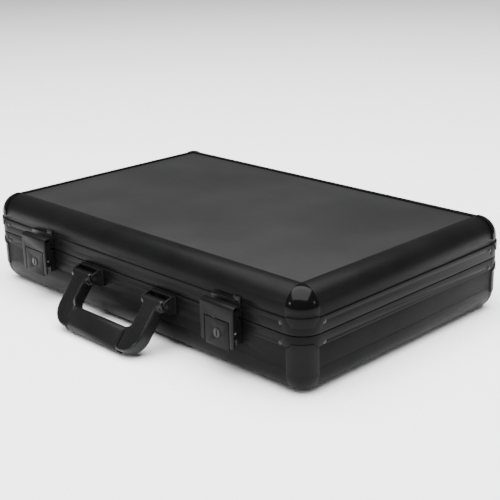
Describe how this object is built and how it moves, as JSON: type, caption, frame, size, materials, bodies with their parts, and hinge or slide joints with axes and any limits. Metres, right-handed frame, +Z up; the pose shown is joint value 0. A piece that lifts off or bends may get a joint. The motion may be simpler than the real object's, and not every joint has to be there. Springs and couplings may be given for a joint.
{
  "type": "attache case",
  "caption": "Slim hinged attaché case of dark aluminium profiles with key-locking draw latches, ball corners and a swinging carrying handle.",
  "frame": {"origin": "centre of the footprint on the plane the case stands on", "axes": "+X along the long front side towards the right latch, +Z up out of the lid's top, the handle faces -Y"},
  "size_m": [0.4618, 0.3543, 0.0968],
  "materials": {
    "lining": "short black felt",
    "foam": "open-cell foam",
    "panel": "finely ribbed matte laminate",
    "side_panel": "satin black",
    "rail": "black anodised satin",
    "rim": "black anodised satin",
    "rivet": "black, slightly rubbed",
    "ball_corner": "polished black",
    "base_corner": "satin black moulding",
    "handle_plastic": "polished black",
    "grip": "satin black moulding",
    "bracket": "satin black",
    "bezel": "black",
    "lock": "dark grey satin",
    "bright_steel": "zinc plated",
    "hinge": "satin black",
    "latch": "dark grey satin"
  },
  "bodies": {
    "base": {"base_floor_panel": "side_panel", "base_front_panel": "side_panel", "base_right_panel": "side_panel", "base_back_panel": "side_panel", "base_left_panel": "side_panel", "base_front_rail": "rail", "base_right_rail": "rail", "base_back_rail": "rail", "base_left_rail": "rail", "base_rim": "rim", "base_corner_front_left": "base_corner", "base_corner_front_right": "base_corner", "base_corner_back_left": "base_corner", "base_corner_back_right": "base_corner", "base_corner_rivets": "rivet", "base_lining": "lining", "base_foam": "foam", "latch_base_left": "latch", "latch_base_right": "latch", "lever_pins": "bright_steel", "latch_springs": "bright_steel", "handle_bracket_left": "bracket", "handle_bracket_right": "bracket", "handle_pins": "bright_steel", "hinge_base_leaf_left": "hinge", "hinge_base_leaf_right": "hinge", "hinge_pins": "bright_steel", "base_hardware_rivets": "rivet"},
    "lid": {"lid_top_panel": "panel", "lid_front_rail": "rail", "lid_right_rail": "rail", "lid_back_rail": "rail", "lid_left_rail": "rail", "lid_rim": "rim", "lid_corner_front_left": "ball_corner", "lid_corner_front_right": "ball_corner", "lid_corner_back_left": "ball_corner", "lid_corner_back_right": "ball_corner", "lid_corner_rivets": "rivet", "lid_lining": "lining", "lid_foam": "foam", "keeper_left": "latch", "keeper_right": "latch", "hinge_lid_leaf_left": "hinge", "hinge_lid_leaf_right": "hinge", "lid_hardware_rivets": "rivet"},
    "handle": {"handle_frame": "handle_plastic", "handle_grip": "grip"},
    "lever_left": {"lever_left": "latch", "lock_bezel_left": "bezel", "hasp_pins_left": "bright_steel"},
    "hasp_left": {"hasp_left": "latch"},
    "lock_left": {"lock_plug_left": "lock", "lock_cam_left": "bright_steel"},
    "lever_right": {"lever_right": "latch", "lock_bezel_right": "bezel", "hasp_pins_right": "bright_steel"},
    "hasp_right": {"hasp_right": "latch"},
    "lock_right": {"lock_plug_right": "lock", "lock_cam_right": "bright_steel"}
  },
  "joints": [
    {"name": "lid_hinge", "type": "hinge", "parent": "base", "child": "lid", "pos_m": [0, 0.1515, 0.0564], "axis": [-1, 0, 0], "range_deg": [0, 100]},
    {"name": "handle_swing", "type": "hinge", "parent": "base", "child": "handle", "pos_m": [0, -0.158, 0.046], "axis": [-1, 0, 0], "range_deg": [-38, 90]},
    {"name": "lever_left_lift", "type": "hinge", "parent": "base", "child": "lever_left", "pos_m": [0, -0.155, 0.0498], "axis": [-1, 0, 0], "range_deg": [0, 90]},
    {"name": "hasp_left_swing", "type": "hinge", "parent": "lever_left", "child": "hasp_left", "pos_m": [0, -0.1578, 0.046], "axis": [1, 0, 0], "range_deg": [0, 90]},
    {"name": "key_left_turn", "type": "hinge", "parent": "lever_left", "child": "lock_left", "pos_m": [-0.1395, -0.1549, 0.0418], "axis": [0, 1, 0], "range_deg": [0, 90]},
    {"name": "lever_right_lift", "type": "hinge", "parent": "base", "child": "lever_right", "pos_m": [0, -0.155, 0.0498], "axis": [-1, 0, 0], "range_deg": [0, 90]},
    {"name": "hasp_right_swing", "type": "hinge", "parent": "lever_right", "child": "hasp_right", "pos_m": [0, -0.1578, 0.046], "axis": [1, 0, 0], "range_deg": [0, 90]},
    {"name": "key_right_turn", "type": "hinge", "parent": "lever_right", "child": "lock_right", "pos_m": [0.1395, -0.1549, 0.0418], "axis": [0, 1, 0], "range_deg": [0, 90]}
  ],
  "couplings": [
    {"joint": "hasp_left_swing", "follows": "lever_left_lift", "ratio": 1},
    {"joint": "hasp_right_swing", "follows": "lever_right_lift", "ratio": 1}
  ]
}
